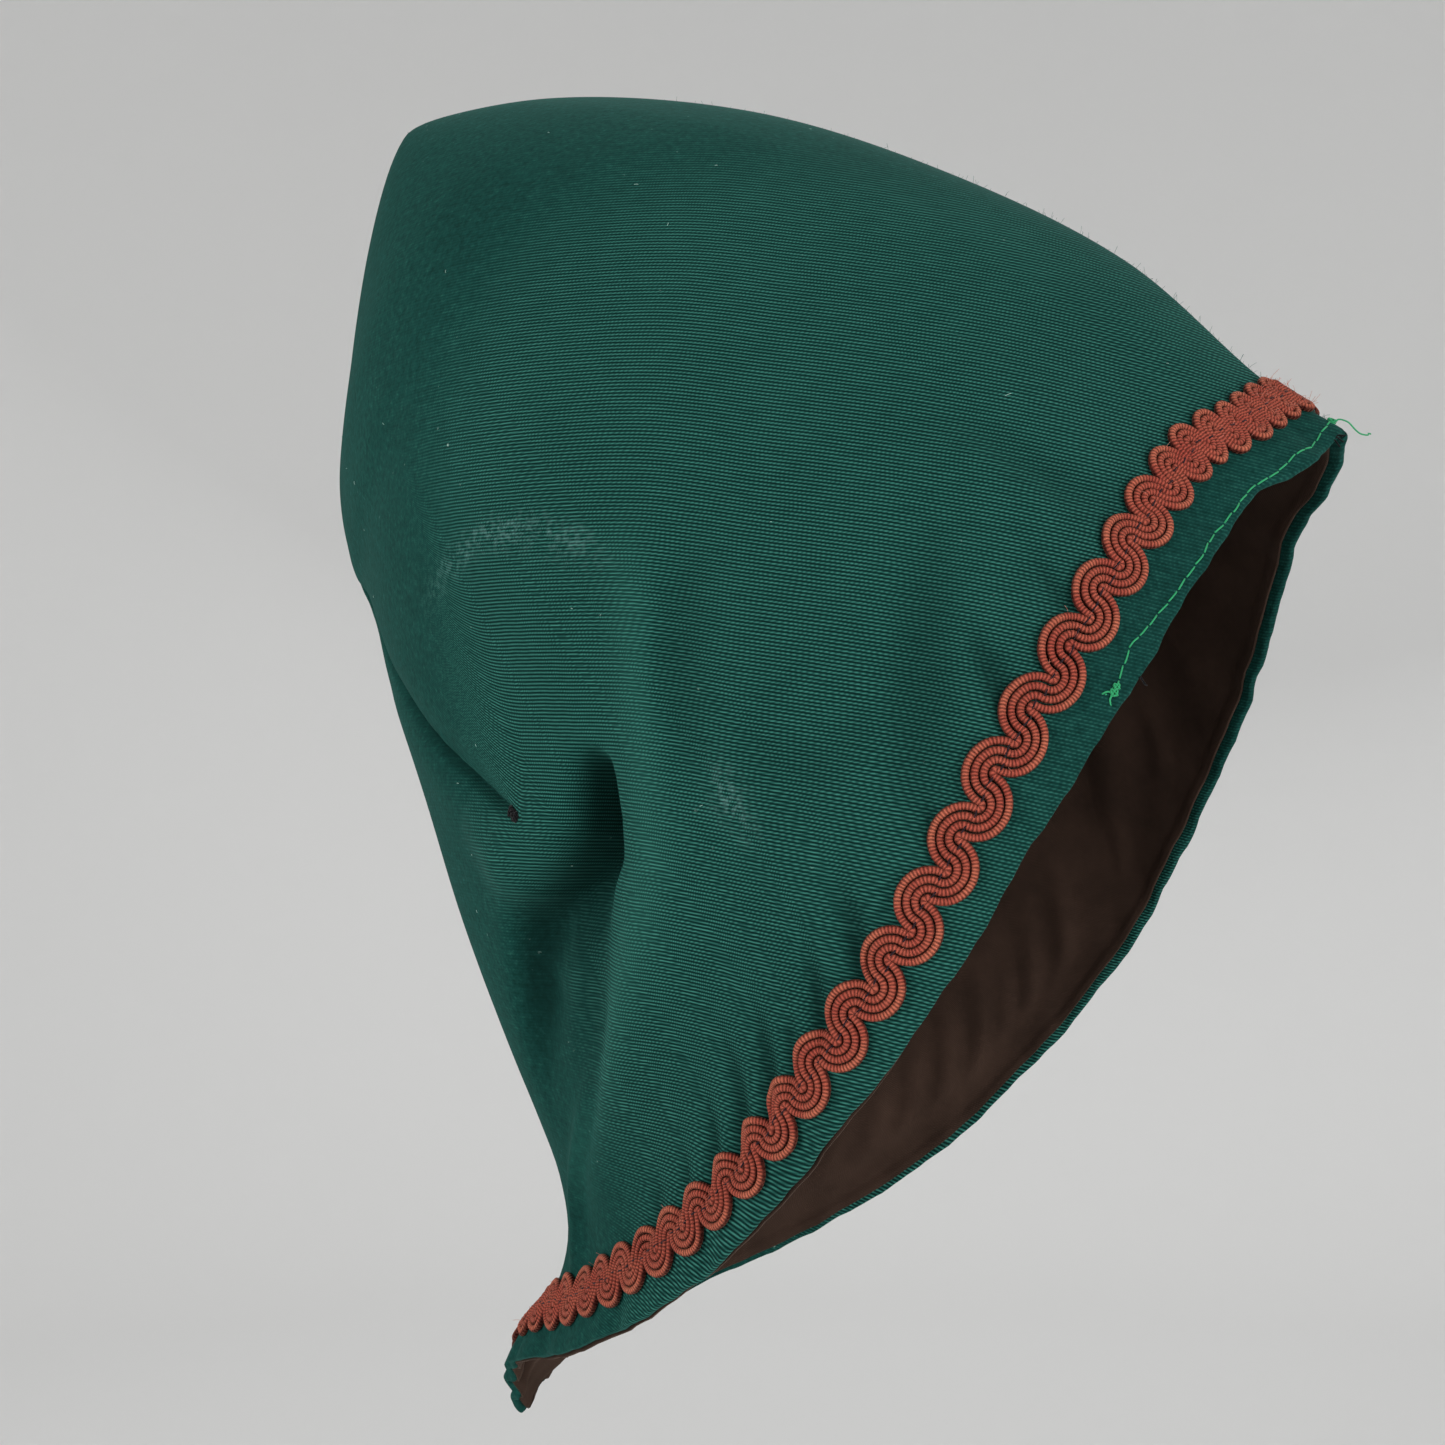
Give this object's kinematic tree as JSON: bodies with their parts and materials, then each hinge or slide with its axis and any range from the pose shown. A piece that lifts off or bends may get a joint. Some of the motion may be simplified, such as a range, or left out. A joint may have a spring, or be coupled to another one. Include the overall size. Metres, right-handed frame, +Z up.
{
  "type": "pointed hood",
  "caption": "Pointed cloth hood of mirrored side panels with a crown seam, a back seam, a turned-in hem, a lining and a serpentine gimp braid round the opening.",
  "frame": {"origin": "head seat: the inner face of the lining on the middle plane at the crown, where the wearer's head touches it", "axes": "+X forward over the face, +Y to the wearer's left, +Z up"},
  "size_m": [0.2542, 0.1624, 0.3283],
  "materials": {
    "outer_cloth": "fine ribbed dark green cloth, matt",
    "lining": "plain dark brown cloth, matt",
    "braid": "wound rust red cords, slight sheen"
  },
  "bodies": {
    "root": {"right_panel": "outer_cloth", "left_panel": "outer_cloth", "right_lining": "lining", "left_lining": "lining", "braid": "braid"}
  },
  "joints": []
}
